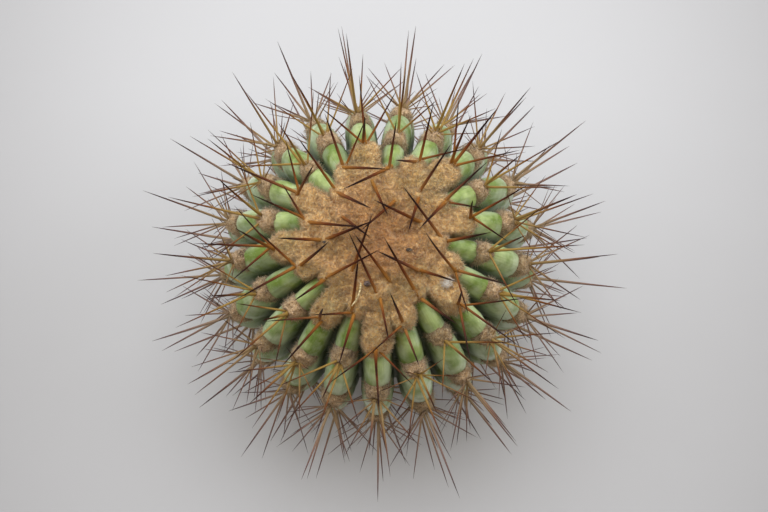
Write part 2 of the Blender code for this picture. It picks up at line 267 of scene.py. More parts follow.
class CactusSettings(bpy.types.PropertyGroup):
    """Sizes and colours of the plant and of the place it is shown in"""

    stem_radius: metres("Stem radius", "Radius over the rib crests at the waist", 0.045)
    waist_height: metres("Waist height", "Height of the widest ring over the foot", 0.040)
    crown_rise: metres("Crown rise", "Height of the stem's top over the waist", 0.034)
    foot_drop: metres("Foot drop", "Depth of the rounded underside below the waist", 0.038)
    furrow_depth: metres("Furrow depth", "Depth of the furrows between ribs at the waist", 0.0100)
    swelling: metres("Swelling", "How far a rib swells between two areoles", 0.0014)
    pad_half_width: metres("Areole half width", "Half width of an areole pad across its rib", 0.0040)
    pad_height: metres("Areole height", "Height of an areole pad's felt over the rib crest", 0.0024)
    wool_thickness: metres("Crown wool thickness", "Depth of the wool over the rib crests", 0.0028)
    wool_lump: metres("Crown wool lumps", "Height of the mound of wool over each young areole", 0.0016)
    fibre_length: metres("Wool fibre length", "Length of a loose wool fibre", 0.0015)
    fibre_radius: metres("Wool fibre radius", "Radius of a fibre, thicker than real so as to show", 0.00008)
    young_skin: tint("Young skin", "the skin near the crown", "B6C880")
    # The old skin's paleness is partly chalky wax and partly painted glare from the pale floor.
    old_skin_and_painted_glare: tint("Old skin", "the skin low on the plant", "CED8C4")
    wool_colour: tint("Crown wool", "the crown wool", "E4B46A")
    old_wool_colour: tint("Old wool", "weathered areole wool", "C29C6C")
    spine_colour: tint("Spines", "a spine at its root", "AA8A48")
    floor_colour: tint("Floor", "the cloth that the plant stands on", "CCCCCC")


# Shape of the plant, for numpy arrays of polar angles and bearings

def crest_rise(plan, angle):
    return np.where(angle < math.pi / 2, plan.crown_rise, plan.foot_drop)


def crest_normal(plan, angle):
    """Outward and upward parts of the crest line's normal."""
    out = crest_rise(plan, angle) * np.sin(angle)
    up = plan.stem_radius * np.cos(angle)
    size = np.hypot(out, up)
    return out / size, up / size


def crest_point(plan, angle, bearing, lift=0.0):
    """Points on the smooth envelope of the rib crests, raised along its normal."""
    out, up = crest_normal(plan, angle)
    radius = plan.stem_radius * np.sin(angle) + lift * out
    height = plan.waist_height + crest_rise(plan, angle) * np.cos(angle) + lift * up
    return np.stack([radius * np.sin(bearing), radius * np.cos(bearing), height], axis=-1)


def crest_reach(plan, angle):
    """How far the crest line runs for a radian of polar angle, above the waist."""
    return math.hypot(plan.stem_radius * math.cos(angle), plan.crown_rise * math.sin(angle))


def stem_share(angle):
    """How far down the stem's skin a polar angle lies, from 0 to 1."""
    return (angle - STEM_TOP_ANGLE) / (STEM_FOOT_ANGLE - STEM_TOP_ANGLE)


def areole_angle(number):
    """Polar angle of an areole: the steps grow with age, up to the last growing one."""
    growing = min(number, LAST_GROWING_STEP)
    angle = AREOLE_ZERO_ANGLE + growing * AREOLE_STEP_ANGLE + growing**2 * AREOLE_STEP_GROWTH / 2
    return angle + (number - growing) * (AREOLE_STEP_ANGLE + growing * AREOLE_STEP_GROWTH)


def areole_number(angle):
    """The areole number, with its fraction, that stands at a polar angle."""
    last = areole_angle(LAST_GROWING_STEP)
    step = AREOLE_STEP_ANGLE + LAST_GROWING_STEP * AREOLE_STEP_GROWTH
    root = AREOLE_STEP_ANGLE**2 + 2 * AREOLE_STEP_GROWTH * (angle - AREOLE_ZERO_ANGLE)
    young = (np.sqrt(np.maximum(0.0, root)) - AREOLE_STEP_ANGLE) / AREOLE_STEP_GROWTH
    return np.where(angle > last, LAST_GROWING_STEP + (angle - last) / step, young)


def areole_bearing(number):
    return FIRST_RIB_BEARING + number * SPIRAL_STEP * RIB_PITCH


def rib_place(bearing):
    """The rib's number, and the place across it from -0.5 to 0.5."""
    place = (bearing - FIRST_RIB_BEARING) / RIB_PITCH
    rib = np.rint(place)
    return np.mod(rib, RIBS), place - rib


def relief(angle):
    """The ribs' relief: full down to the waist, from where it fades to a level foot."""
    below = np.maximum(0.0, angle - math.pi / 2) / (STEM_FOOT_ANGLE - math.pi / 2)
    return 1.0 - np.minimum(1.0, below) ** FOOT_FADE


def furrow_depth(plan, angle):
    return plan.furrow_depth * np.sin(np.minimum(angle, math.pi / 2)) ** FURROW_GROWTH * relief(angle)


def rib_section(angle, bearing):
    """How far a place lies into its furrow, and up the swelling between two areoles, each from 0 to 1."""
    rib, across = rib_place(bearing)
    along = (areole_number(angle) - rib * SPIRAL_STEP) / RIBS
    middle = np.abs(2 * (along - np.floor(along)) - 1)
    bulge = 1.0 - middle**NOTCH_SHARPNESS
    place = np.minimum(1.0, np.abs(2 * across) / RIB_SHARE * (1.0 + NOTCH_PINCH * (1.0 - bulge)))
    furrow = 1.0 - np.sqrt(np.maximum(0.0, 1.0 - place**FURROW_ROUNDNESS))
    return furrow, bulge


def rib_lift(plan, angle, bearing):
    """How far the ribbed skin lies from the crests' envelope."""
    furrow, bulge = rib_section(angle, bearing)
    return plan.swelling * relief(angle) * bulge * (1.0 - furrow) - furrow_depth(plan, angle) * furrow


def youth(number):
    """1 for the areole at the growing point, and 0 from the wool's edge on down."""
    return max(0.0, (LAST_CROWN_AREOLE - number) / (LAST_CROWN_AREOLE - YOUNGEST_AREOLE))


def lump_growth(number):
    """Size of an areole's mound of wool: 1 at the wool's edge, less on younger areoles."""
    return 1.0 - (1.0 - YOUNG_LUMP_SHARE) * youth(number)


def wool_edge(plan, bearing):
    """Polar angle of the crown wool's edge: a round patch, with a lobe over each woolly areole at its rim."""
    edge = np.full_like(bearing, WOOL_EDGE_ANGLE)
    for number in CROWN_AREOLES:
        centre = areole_angle(number)
        aside = np.mod(bearing - areole_bearing(number) + math.pi, 2 * math.pi) - math.pi
        radius = WOOL_LOBE_RADIUS * lump_growth(number)
        across = aside * plan.stem_radius * math.sin(centre) / radius
        reach = centre + radius / crest_reach(plan, centre) * np.sqrt(np.maximum(0.0, 1.0 - across**2))
        edge = np.where(np.abs(across) < 1.0, np.maximum(edge, reach), edge)
    return edge


def wool_ring_angle(share, edge):
    """Polar angle of a place this far out on the wool: even rings inside, then rings out to the edge."""
    inner = WOOL_INNER_ANGLE * share / WOOL_INNER_SHARE
    past = (edge - WOOL_INNER_ANGLE) * (share - WOOL_INNER_SHARE) / (1.0 - WOOL_INNER_SHARE)
    return np.where(share < WOOL_INNER_SHARE, inner, WOOL_INNER_ANGLE + past)


def wool_lift(plan, angle, bearing):
    """Height of the wool over the crests: level, with a mound over each areole under it."""
    here = crest_point(plan, angle, bearing)
    lift = np.full_like(angle, plan.wool_thickness)
    for number in CROWN_AREOLES:
        areole = crest_point(plan, areole_angle(number), areole_bearing(number))
        away = np.linalg.norm(here - areole, axis=-1)
        grown = lump_growth(number)
        lift = np.maximum(lift, plan.wool_thickness + plan.wool_lump * grown
                          * np.cos(np.minimum(math.pi / 2, away / WOOL_LUMP_RADIUS / grown)))
    return lift


def roughen(points, size, seed):
    """Smooth random values from -1 to 1 at the points, with bumps of about this size."""
    shift = Vector([seed * step for step in NOISE_STEPS])
    return np.array([noise.noise(Vector(point) / size + shift) for point in points])


def waves(points, rows):
    """The height of these rows of waves at the points, all together."""
    return sum(height * roughen(points, size, seed) for height, size, seed in rows)


# Mesh helpers. The growth rule gives every point its place, so primitives are reshaped point by point.

def deselect_all():
    bpy.ops.object.select_all(action="DESELECT")


def points_of(mesh):
    points = np.empty(len(mesh.vertices) * 3)
    mesh.vertices.foreach_get("co", points)
    return points.reshape(-1, 3)


def set_points(mesh, points):
    mesh.vertices.foreach_set("co", np.asarray(points, float).ravel())
    mesh.update()


def ordered_faces(mesh):
    """The faces as lists of points, in an order that is the same in each run."""
    faces = []
    for face in mesh.polygons:
        points = list(face.vertices)
        first = points.index(min(points))
        faces.append(points[first:] + points[:first])
    return sorted(faces)


def add_point_value(mesh, name, values):
    attribute = mesh.attributes.new(name, "FLOAT", "POINT")
    attribute.data.foreach_set("value", np.asarray(values, float).ravel())


def settle(piece, material, node):
    """Gives a finished piece its material, shading and body, and hides the part of model.glb that it stands
    for.
    """
    piece.data.materials.append(material)
    deselect_all()
    bpy.context.view_layer.objects.active = piece
    piece.select_set(True)
    bpy.ops.object.shade_smooth()
    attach(piece, "root")
    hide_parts(node)


def sphere_piece(name, segments, rings):
    """A UV sphere primitive, its faces laid in a fixed order, and its points' polar angles and bearings."""
    deselect_all()
    bpy.ops.mesh.primitive_uv_sphere_add(segments=segments, ring_count=rings, radius=1.0)
    piece = bpy.context.object
    piece.name = name
    piece.data.name = name
    points = points_of(piece.data)
    faces = ordered_faces(piece.data)
    piece.data.clear_geometry()
    piece.data.from_pydata(points.tolist(), [], faces)
    polar = np.arccos(np.clip(points[:, 2], -1.0, 1.0))
    bearing = np.arctan2(points[:, 0], points[:, 1])
    return piece, polar, bearing


def turned(points, root, axis, side, radius, length):
    """A template's points, with its Z from 0 to 1 laid along the axis from the root."""
    up = np.cross(axis, side)
    return (root[:, None] + side[:, None] * points[None, :, :1] * radius[:, None, None]
            + up[:, None] * points[None, :, 1:2] * radius[:, None, None]
            + axis[:, None] * points[None, :, 2:] * length[:, None, None])


def copies(name, template, places):
    """One mesh of a copy of the template's faces for each row of places, an array of its points."""
    count = len(places)
    size = places.shape[1]
    faces = ordered_faces(template)
    mesh = bpy.data.meshes.new(name)
    loops = np.concatenate([np.array(face) for face in faces])
    starts = np.cumsum([0] + [len(face) for face in faces[:-1]])
    mesh.vertices.add(count * size)
    mesh.loops.add(count * len(loops))
    mesh.polygons.add(count * len(faces))
    mesh.vertices.foreach_set("co", places.ravel())
    offsets = np.arange(count)[:, None]
    mesh.loops.foreach_set("vertex_index", (loops[None] + offsets * size).ravel())
    mesh.polygons.foreach_set("loop_start", (starts[None] + offsets * len(loops)).ravel())
    mesh.update(calc_edges=True)
    mesh.validate()
    piece = bpy.data.objects.new(name, mesh)
    bpy.context.scene.collection.objects.link(piece)
    return piece


def unit(rows):
    return rows / np.linalg.norm(rows, axis=1, keepdims=True)


def sides_of(axis):
    """A unit direction square to each axis."""
    helper = np.where(np.abs(axis[:, 2:]) < 0.9, [[0.0, 0.0, 1.0]], [[1.0, 0.0, 0.0]])
    return unit(np.cross(helper, axis))


def cut_level(height, parts):
    """Cuts the active piece level, into this many even parts from the ground to the height."""
    bpy.ops.object.mode_set(mode="EDIT")
    for cut in range(1, parts):
        bpy.ops.mesh.select_all(action="SELECT")
        bpy.ops.mesh.bisect(plane_co=(0, 0, height * cut / parts), plane_no=(0, 0, 1))
    bpy.ops.object.mode_set(mode="OBJECT")


def needle_template(sides, parts, tip=0.0):
    """A closed needle that runs up from the origin, 1 long and 1 in radius, cut level into parts."""
    deselect_all()
    bpy.ops.mesh.primitive_cone_add(vertices=sides, radius1=1.0, radius2=tip, depth=1.0, location=(0, 0, 0.5))
    piece = bpy.context.object
    bpy.ops.object.transform_apply(location=True)
    cut_level(1.0, parts)
    mesh = piece.data.copy()
    bpy.data.objects.remove(piece, do_unlink=True)
    return mesh


# Materials

def linear(hex_colour):
    """Linear RGBA from an sRGB hex value."""
    channels = [int(hex_colour[place:place + 2], 16) / 255 for place in (0, 2, 4)]
    return [c / 12.92 if c <= 0.04045 else ((c + 0.055) / 1.055) ** 2.4 for c in channels] + [1.0]


def add_node(material, kind, output, inputs=(), stops=(), **settings):
    """Adds a shader node with its settings, inputs and colour stops, and gives the output asked for."""
    tree = material.node_tree
    made = tree.nodes.new("ShaderNode" + kind)
    for name, value in settings.items():
        setattr(made, name, value)
    for socket, value in dict(inputs).items():
        if isinstance(value, bpy.types.NodeSocket):
            tree.links.new(value, made.inputs[socket])
        else:
            made.inputs[socket].default_value = value
    if stops:
        elements = made.color_ramp.elements
        while len(elements) < len(stops):
            elements.new(0.5)
        for element, (place, colour) in zip(elements, stops):
            element.position = place
            element.color = linear(colour)
    return made.outputs[output]


def new_material(name, roughness, **values):
    """A material with a plain Principled shader, and the shader itself."""
    material = bpy.data.materials.new(name)
    material.use_nodes = True
    shader = material.node_tree.nodes["Principled BSDF"]
    shader.inputs["Roughness"].default_value = roughness
    for socket, value in values.items():
        shader.inputs[socket.replace("_", " ")].default_value = value
    return material, shader


def link(shader, socket, output):
    shader.id_data.links.new(output, shader.inputs[socket])


def bumps(millimetres):
    """The noise scale whose bumps are about this many millimetres across."""
    return 1000.0 / (2.0 * millimetres)


def stain(material, base, colour, *masks, blend="MIX"):
    """Lays a colour over the base where all masks let it, each a pattern with its stops."""
    shares = [add_node(material, "ValToRGB", "Color", {"Fac": pattern}, stops) for pattern, stops in masks]
    share = shares[0]
    for other in shares[1:]:
        share = add_node(material, "Mix", 2, {0: 1.0, 6: share, 7: other},
                         data_type="RGBA", blend_type="MULTIPLY")
    return add_node(material, "Mix", 2, {0: share, 6: base, 7: linear(colour)},
                    data_type="RGBA", blend_type=blend)


def waxy_epidermis(plan):
    """Living skin with a thin bloom of wax: yellow-green near the crown, chalky and paler further down,
    partly as painted floor glare, then corky.
    """
    material, shader = new_material(
        "waxy_epidermis", 0.50, Subsurface_Weight=0.05, Subsurface_Scale=0.0015, IOR=1.42)
    shader.inputs["Subsurface Radius"].default_value = (0.6, 1.0, 0.3)
    age, furrow, bulge = (add_node(material, "Attribute", "Fac", attribute_name=name)
                          for name in ("age", "furrow", "bulge"))
    place = add_node(material, "TexCoord", "Object")
    blotch, film, freckle, wrinkle = (
        add_node(material, "TexNoise", "Fac",
                 {"Vector": place, "Scale": bumps(size), "Detail": detail, "Roughness": 0.6})
        for size, detail in ((4.0, 3.0), (2.5, 5.0), (0.5, 2.0), (0.9, 3.0)))
    strip = add_node(material, "Attribute", "Vector", attribute_name="strip")
    streak = add_node(material, "TexNoise", "Fac", {"Vector": strip, "Scale": 1.0, "Detail": 3.0})
    # Colour by age down the stem: the pale old skin is partly chalky wax and partly painted glare from the
    # floor, then corky at the foot.
    skin = add_node(material, "ValToRGB", "Color", {"Fac": age}, [
        (0.0, plan.young_skin), (0.22, plan.young_skin), (0.42, plan.old_skin_and_painted_glare), (0.64, plan.old_skin_and_painted_glare),
        (0.86, "837C5C"), (1.0, "6A563C")])
    skin = stain(material, skin, "A4B46E", (blotch, [(0.38, BLACK), (0.58, WHITE)]), blend="MULTIPLY")
    skin = stain(material, skin, "CCDAC4", (furrow, [(0.01, "484848"), (0.12, "A0A0A0"), (0.75, "C0C0C0")]),
                 (film, [(0.40, "202020"), (0.56, WHITE)]))
    # Painted shade: the furrows between the ribs are darkened towards near-black green, most at their
    # bottoms.
    skin = stain(material, skin, "262C20", (furrow, [(0.35, BLACK), (0.85, "E8E8E8")]))
    skin = stain(material, skin, "8CA05E", (streak, [(0.50, BLACK), (0.70, "909090")]), blend="MULTIPLY")
    skin = stain(material, skin, "857A55", (bulge, [(0.0, "D0D0D0"), (0.42, BLACK)]),
                 (age, [(0.3, "202020"), (0.6, "C0C0C0")]))
    skin = stain(material, skin, "D2D8B8", (freckle, [(0.58, BLACK), (0.68, "6C6C6C")]))
    link(shader, "Base Color", skin)
    relief_map = add_node(material, "Mix", 2, {0: 0.5, 6: wrinkle, 7: streak}, data_type="RGBA")
    raised = add_node(material, "Bump", "Normal",
                      {"Height": relief_map, "Distance": 0.00035, "Strength": 0.6})
    link(shader, "Normal", raised)
    return material


def matted_wool(name, colour, pale, dark):
    """Plant wool, hairs 20 to 40 microns thick matted into felt, drawn coarser so that it shows."""
    material, shader = new_material(name, 0.95, Sheen_Weight=0.35, Sheen_Roughness=0.5)
    place = add_node(material, "TexCoord", "Object")
    tuft, pale_fleck_and_glint, hair, patch = (
        add_node(material, "TexNoise", "Fac",
                 {"Vector": place, "Scale": bumps(size), "Detail": detail, "Roughness": rough})
        for size, detail, rough in ((2.2, 4.0, 0.6), (0.55, 3.0, 0.75), (0.28, 3.0, 0.75), (5.0, 3.0, 0.6)))
    young, socket = (add_node(material, "Attribute", "Fac", attribute_name=value)
                     for value in ("young", "socket"))
    wool = add_node(material, "ValToRGB", "Color", {"Fac": tuft},
                    [(0.30, dark), (0.46, colour), (0.58, colour), (0.72, pale)])
    # Pale flecks: partly pale fibre ends, partly painted glints on crumbs of wool.
    wool = stain(material, wool, pale, (pale_fleck_and_glint, [(0.55, BLACK), (0.64, "F0F0F0")]))
    wool = stain(material, wool, pale, (hair, [(0.46, BLACK), (0.60, "D8D8D8")]))
    wool = stain(material, wool, dark, (hair, [(0.34, "D0D0D0"), (0.44, BLACK)]))
    wool = stain(material, wool, "C8CCB8", (patch, [(0.44, BLACK), (0.60, "C0C0C0")]), blend="MULTIPLY")
    wool = stain(material, wool, "D6A078", (young, [(0.25, BLACK), (0.8, "C0C0C0")]), blend="MULTIPLY")
    # Painted shade: the socket value darkens the felt towards dark brown in the spine pit and at the pad's
    # rim, where it is partly dirt.
    wool = add_node(material, "Mix", 2, {0: socket, 6: wool, 7: linear("3A2412")}, data_type="RGBA")
    link(shader, "Base Color", wool)
    nap = add_node(material, "Mix", 2, {0: 0.4, 6: hair, 7: pale_fleck_and_glint}, data_type="RGBA")
    raised = add_node(material, "Bump", "Normal", {"Height": nap, "Distance": 0.0006, "Strength": 1.0})
    link(shader, "Normal", raised)
    return material


def horn_spine(name, stops):
    """Hard spine tissue like horn: amber at the root, darker and redder to a sharp tip, with faint bands."""
    material, shader = new_material(name, 0.55, IOR=1.50, Specular_IOR_Level=0.15)
    along, tone = (add_node(material, "Attribute", "Fac", attribute_name=value)
                   for value in ("along", "tone"))
    place = add_node(material, "TexCoord", "Object")
    bands = add_node(material, "TexNoise", "Fac",
                     {"Vector": place, "Scale": bumps(1.5), "Detail": 2.0, "Roughness": 0.6})
    fresh = add_node(material, "ValToRGB", "Color", {"Fac": along}, stops)
    weathered = add_node(material, "ValToRGB", "Color", {"Fac": along},
                         [(0.0, "A89476"), (0.5, "8A7064"), (0.8, "644C48"), (1.0, "342424")])
    horn = add_node(material, "Mix", 2, {0: tone, 6: fresh, 7: weathered}, data_type="RGBA")
    horn = stain(material, horn, "5A3812", (bands, [(0.35, "3A3A3A"), (0.62, BLACK)]))
    link(shader, "Base Color", horn)
    return material


def corky_bark():
    """Root bark: dry cork, dull and rough, with fine dark cracks."""
    material, shader = new_material("corky_bark", 0.92)
    place = add_node(material, "TexCoord", "Object")
    crack = add_node(material, "TexNoise", "Fac",
                     {"Vector": place, "Scale": bumps(1.2), "Detail": 5.0, "Roughness": 0.7})
    colour = add_node(material, "ValToRGB", "Color", {"Fac": crack},
                      [(0.3, "3B2A1C"), (0.5, "6E563C"), (0.72, "94795A")])
    link(shader, "Base Color", colour)
    raised = add_node(material, "Bump", "Normal", {"Height": crack, "Distance": 0.0006, "Strength": 1.0})
    link(shader, "Normal", raised)
    return material


def plain_finish(name, colour, roughness, shade="B0A898"):
    """One dull colour with a grain of its shade, for the small dry things on the crown."""
    material, shader = new_material(name, roughness)
    place = add_node(material, "TexCoord", "Object")
    grain = add_node(material, "TexNoise", "Fac",
                     {"Vector": place, "Scale": bumps(0.3), "Detail": 3.0, "Roughness": 0.6})
    shaded = stain(material, linear(colour), shade, (grain, [(0.4, WHITE), (0.6, BLACK)]),
                   blend="MULTIPLY")
    link(shader, "Base Color", shaded)
    return material


def pale_cloth(plan):
    """Plain pale cloth under the plant, with soft broad creases, and painted shade that darkens it further
    out.
    """
    material, shader = new_material("pale_cloth", 0.9)
    place = add_node(material, "TexCoord", "Object")
    # Painted shade: the cloth fades from its own colour to a darker grey further from the plant, as a painted
    # vignette and light falloff.
    wide = add_node(material, "Mapping", "Vector",
                    {"Vector": place, "Location": (0.0, -0.035, 0.0), "Scale": (1.3, 1.0, 1.0)})
    away = add_node(material, "VectorMath", "Value", {0: wide}, operation="LENGTH")
    outward = add_node(material, "MapRange", "Result", {"Value": away, "From Min": 0.06, "From Max": 0.27},
                       interpolation_type="SMOOTHSTEP")
    painted_falloff_shade = add_node(material, "Mix", 2, {0: outward, 6: linear(plan.floor_colour), 7: linear("A2A1A0")},
                      data_type="RGBA")
    link(shader, "Base Color", painted_falloff_shade)
    crease = add_node(material, "TexNoise", "Fac",
                     {"Vector": place, "Scale": bumps(25.0), "Detail": 2.0, "Roughness": 0.6})
    raised = add_node(material, "Bump", "Normal", {"Height": crease, "Distance": 0.0015, "Strength": 0.3})
    link(shader, "Normal", raised)
    return material


# Pieces

class CACTUS_OT_skin(bpy.types.Operator):
    """Model the ribbed skin: a sphere reshaped by the rib formula, finer than the solid it stands for"""

    bl_idname = "cactus.skin"
    bl_label = "Ribbed skin"

    def execute(self, context):
        plan = context.scene.cactus
        piece, polar, bearing = sphere_piece("stem_skin", RIBS * SKIN_COLUMNS, SKIN_RINGS)
        ring = np.rint(polar / math.pi * SKIN_RINGS)
        step = (STEM_FOOT_ANGLE - STEM_TOP_ANGLE) / (SKIN_RINGS - 2 * CAP_RINGS)
        angle = np.clip(STEM_TOP_ANGLE + (ring - CAP_RINGS) * step, STEM_TOP_ANGLE, STEM_FOOT_ANGLE)
        column = np.mod(bearing / RIB_PITCH, 1.0)
        crowded = 0.5 - 0.5 * np.cos(math.pi * column)
        column = EVEN_COLUMNS * column + CROWDED_COLUMNS * crowded
        bearing = (np.floor(bearing / RIB_PITCH) + column) * RIB_PITCH
        bearing += FIRST_RIB_BEARING - RIB_PITCH / 2
        furrow, bulge = rib_section(angle, bearing)
        lift = rib_lift(plan, angle, bearing)
        envelope = crest_point(plan, angle, bearing)
        level = np.sin(np.clip(stem_share(angle), 0, 1) * math.pi)
        lift += waves(envelope, SKIN_WAVES) * level * (1.0 - furrow)
        points = crest_point(plan, angle, bearing, lift)
        for end, share in ((0, 0.0), (1, CAP_SHARE), (SKIN_RINGS - 1, CAP_SHARE), (SKIN_RINGS, 0.0)):
            points[ring == end, :2] *= share
        set_points(piece.data, points)
        rib, across = rib_place(bearing)
        strip = piece.data.attributes.new("strip", "FLOAT_VECTOR", "POINT")
        strip.data.foreach_set("vector", (np.stack([across, angle, rib], axis=-1) * STREAK_SCALES).ravel())
        add_point_value(piece.data, "furrow", furrow)
        add_point_value(piece.data, "bulge", bulge)
        add_point_value(piece.data, "age", stem_share(angle))
        settle(piece, waxy_epidermis(plan), "ribbed_stem")
        return {"FINISHED"}


def pad_points(plan, template, number):
    """A dome's points over a rib crest: its upper half is the felt, its lower half is sunk in the skin."""
    centre_angle = areole_angle(number)
    centre_bearing = areole_bearing(number)
    across, along = template[:, 0], template[:, 1]
    away = np.hypot(across, along)
    draw = random.Random(PAD_SEED + number)
    width = plan.pad_half_width * draw.uniform(*PAD_WIDTHS)
    length = width * draw.uniform(*PAD_LENGTHS)
    around = np.stack([across, along, np.zeros_like(along)], axis=-1)
    ragged = 1.0 + PAD_RAGGEDNESS * roughen(around, PAD_RAG_SIZE, number)
    angle = centre_angle + along * ragged * length / crest_reach(plan, centre_angle)
    bearing = centre_bearing + across * ragged * width / (plan.stem_radius * math.sin(centre_angle))
    skin = rib_lift(plan, angle, bearing)
    notch = float(rib_lift(plan, centre_angle, centre_bearing))
    dome = plan.pad_height * np.sqrt(np.maximum(0.0, 1.0 - away**PAD_ROUNDNESS)) * (1.0 + PAD_TILT * along)
    skin = skin + (notch - skin) * np.clip((1.0 - away) * 2.0, 0.0, 1.0) * PAD_LEVELLING
    sunk = PAD_SUNK * np.sqrt(np.maximum(0, 1 - away**2)) + PAD_ROOT
    felt = skin + dome - PAD_ROOT * away**6
    return angle, bearing, np.where(template[:, 2] >= 0, felt, skin - sunk)


class CACTUS_OT_areoles(bpy.types.Operator):
    """Model the felted areole pads that lie on the rib crests below the crown"""

    bl_idname = "cactus.areoles"
    bl_label = "Areole pads"

    def execute(self, context):
        plan = context.scene.cactus
        ball = sphere_piece("pad", PAD_COLUMNS, PAD_RINGS)[0]
        template = ball.data.copy()
        bpy.data.objects.remove(ball, do_unlink=True)
        shape = points_of(template)
        top = shape[:, 2] >= 0
        away = np.hypot(shape[:, 0], shape[:, 1])
        socket = np.hypot(shape[:, 0], shape[:, 1] - SOCKET_PLACE) / SOCKET_RADIUS
        socket = np.exp(-socket**2) * (shape[:, 2] > 0)
        rim = np.clip((away - RIM_FROM) / RIM_WIDTH, 0.0, 1.0)
        rows = []
        for number in STEM_AREOLES:
            angle, bearing, lift = pad_points(plan, shape, number)
            lift = lift + top * waves(crest_point(plan, angle, bearing, lift), PAD_WAVES)
            rows.append(crest_point(plan, angle, bearing, lift - SOCKET_DEPTH * socket))
        piece = copies("areole_pads", template, np.array(rows))
        # The socket value holds painted shade in the spine pit, and painted contact shadow with dirt at the
        # rim.
        shade = np.maximum(PIT_PAINTED_SHADE * socket, RIM_PAINTED_SHADOW_AND_DIRT * rim)
        add_point_value(piece.data, "socket", np.tile(shade, len(rows)))
        settle(piece, matted_wool("weathered_wool", plan.old_wool_colour, "ECD0A8", "6A4A2A"), "ribbed_stem")
        return {"FINISHED"}


class CACTUS_OT_crown(bpy.types.Operator):
    """Model the crown's felt: a lobed, mounded cap whose rim follows the ribs and furrows under it"""

    bl_idname = "cactus.crown"
    bl_label = "Crown felt"

    def execute(self, context):
        plan = context.scene.cactus
        piece, polar, bearing = sphere_piece("crown_felt", RIBS * WOOL_COLUMNS, WOOL_RINGS)
        top = polar < math.pi / 2 + 1e-4
        share = np.where(top, polar / (math.pi / 2), (math.pi - polar) / (math.pi / 2))
        share = np.clip(share, 0.0, 1.0) ** WOOL_RING_POWER
        edge = wool_edge(plan, bearing)
        for degrees, size, seed in EDGE_WAVES:
            edge += math.radians(degrees) * roughen(crest_point(plan, edge, bearing), size, seed)
        angle = np.maximum(1e-4, wool_ring_angle(share, edge))
        skin = rib_lift(plan, angle, bearing)
        thinning = 1.0 - WOOL_EDGE_THINNING * share**WOOL_EDGE_ROUNDNESS
        lift = wool_lift(plan, angle, bearing) * thinning
        lift = lift + waves(crest_point(plan, angle, bearing, lift), WOOL_WAVES)
        falling = np.clip((share - ROUNDED_FROM) / (1.0 - ROUNDED_FROM), 0.0, 1.0)
        rounded = np.sqrt(1.0 - falling**2)
        lift = np.where(top, skin + (lift - skin) * rounded, skin - WOOL_ROOT * rounded)
        set_points(piece.data, crest_point(plan, angle, bearing, lift))
        add_point_value(piece.data, "young", 1.0 - share)
        settle(piece, matted_wool("crown_wool_felt", plan.wool_colour, "F2D498", "9C682E"), "crown_wool")
        return {"FINISHED"}


def surface_samples(plan, piece, count):
    """Random points on the faces that look away from the plant's middle, their normals, and the draw."""
    mesh = piece.data
    mesh.calc_loop_triangles()
    corners = np.array([triangle.vertices[:] for triangle in mesh.loop_triangles])
    points = points_of(mesh)
    first, second, third = (points[corners[:, place]] for place in range(3))
    cross = np.cross(second - first, third - first)
    area = np.linalg.norm(cross, axis=1)
    normal = cross / np.maximum(area, 1e-14)[:, None]
    away = (first + second + third) / 3 - [0.0, 0.0, plan.waist_height]
    weight = area * (np.einsum("ij,ij->i", away, normal) > 0)
    draw = np.random.default_rng(FIBRE_SEED)
    chosen = draw.choice(len(corners), size=count, p=weight / weight.sum())
    u, v = draw.random(count), draw.random(count)
    flip = u + v > 1
    u, v = np.where(flip, 1 - u, u), np.where(flip, 1 - v, v)
    place = first[chosen] + (second - first)[chosen] * u[:, None] + (third - first)[chosen] * v[:, None]
    return place, normal[chosen], draw


class CACTUS_OT_fibres(bpy.types.Operator):
    """Strew loose wool fibres over the crown felt and the areole pads"""

    bl_idname = "cactus.fibres"
    bl_label = "Wool fibres"

    def execute(self, context):
        plan = context.scene.cactus
        template = needle_template(sides=3, parts=1)
        for name, felt, node, count, *colours in FIBRES:
            place, normal, draw = surface_samples(plan, bpy.data.objects[felt], count)
            axis = unit(normal * FIBRE_UPRIGHT + draw.normal(size=place.shape) * FIBRE_SCATTER)
            length = plan.fibre_length * draw.uniform(*FIBRE_LENGTHS, count)
            radius = plan.fibre_radius * draw.uniform(*FIBRE_WIDTHS, count)
            root = place - axis * FIBRE_ROOT
            rows = turned(points_of(template), root, axis, sides_of(axis), radius, length)
            fibres = copies(name, template, rows)
            young = np.clip(1.0 - np.hypot(root[:, 0], root[:, 1]) / YOUNG_WOOL_RADIUS, 0.0, 1.0)
            add_point_value(fibres.data, "young", np.repeat(young, rows.shape[1]))
            settle(fibres, matted_wool(name + "_wool", *colours), node)
        return {"FINISHED"}


def areole_axes(plan, number):
    """The areole's outward normal, and the direction down its rib."""
    bearing = areole_bearing(number)
    out, up = (float(part) for part in crest_normal(plan, areole_angle(number)))
    away = Vector((math.sin(bearing), math.cos(bearing), 0.0))
    return away * out + Vector((0, 0, up)), away * up - Vector((0, 0, out))


def varied(draw, row):
    """A row of the spines' table as one spine has grown, with its angles in radians."""
    bearing, lean, length, radius = row
    bearing = math.radians(bearing) + draw.uniform(-BEARING_JITTER, BEARING_JITTER)
    lean = math.radians(lean) + draw.uniform(-LEAN_JITTER, LEAN_JITTER)
    return bearing, lean, length * draw.uniform(SHORTEST_SHARE, LONGEST_SHARE), radius


def leaning(outer, down, bearing, lean):
    """The direction that leans from the normal towards a bearing round it."""
    towards = down * math.cos(bearing) + outer.cross(down) * math.sin(bearing)
    return (outer * math.cos(lean) + towards * math.sin(lean)).normalized()


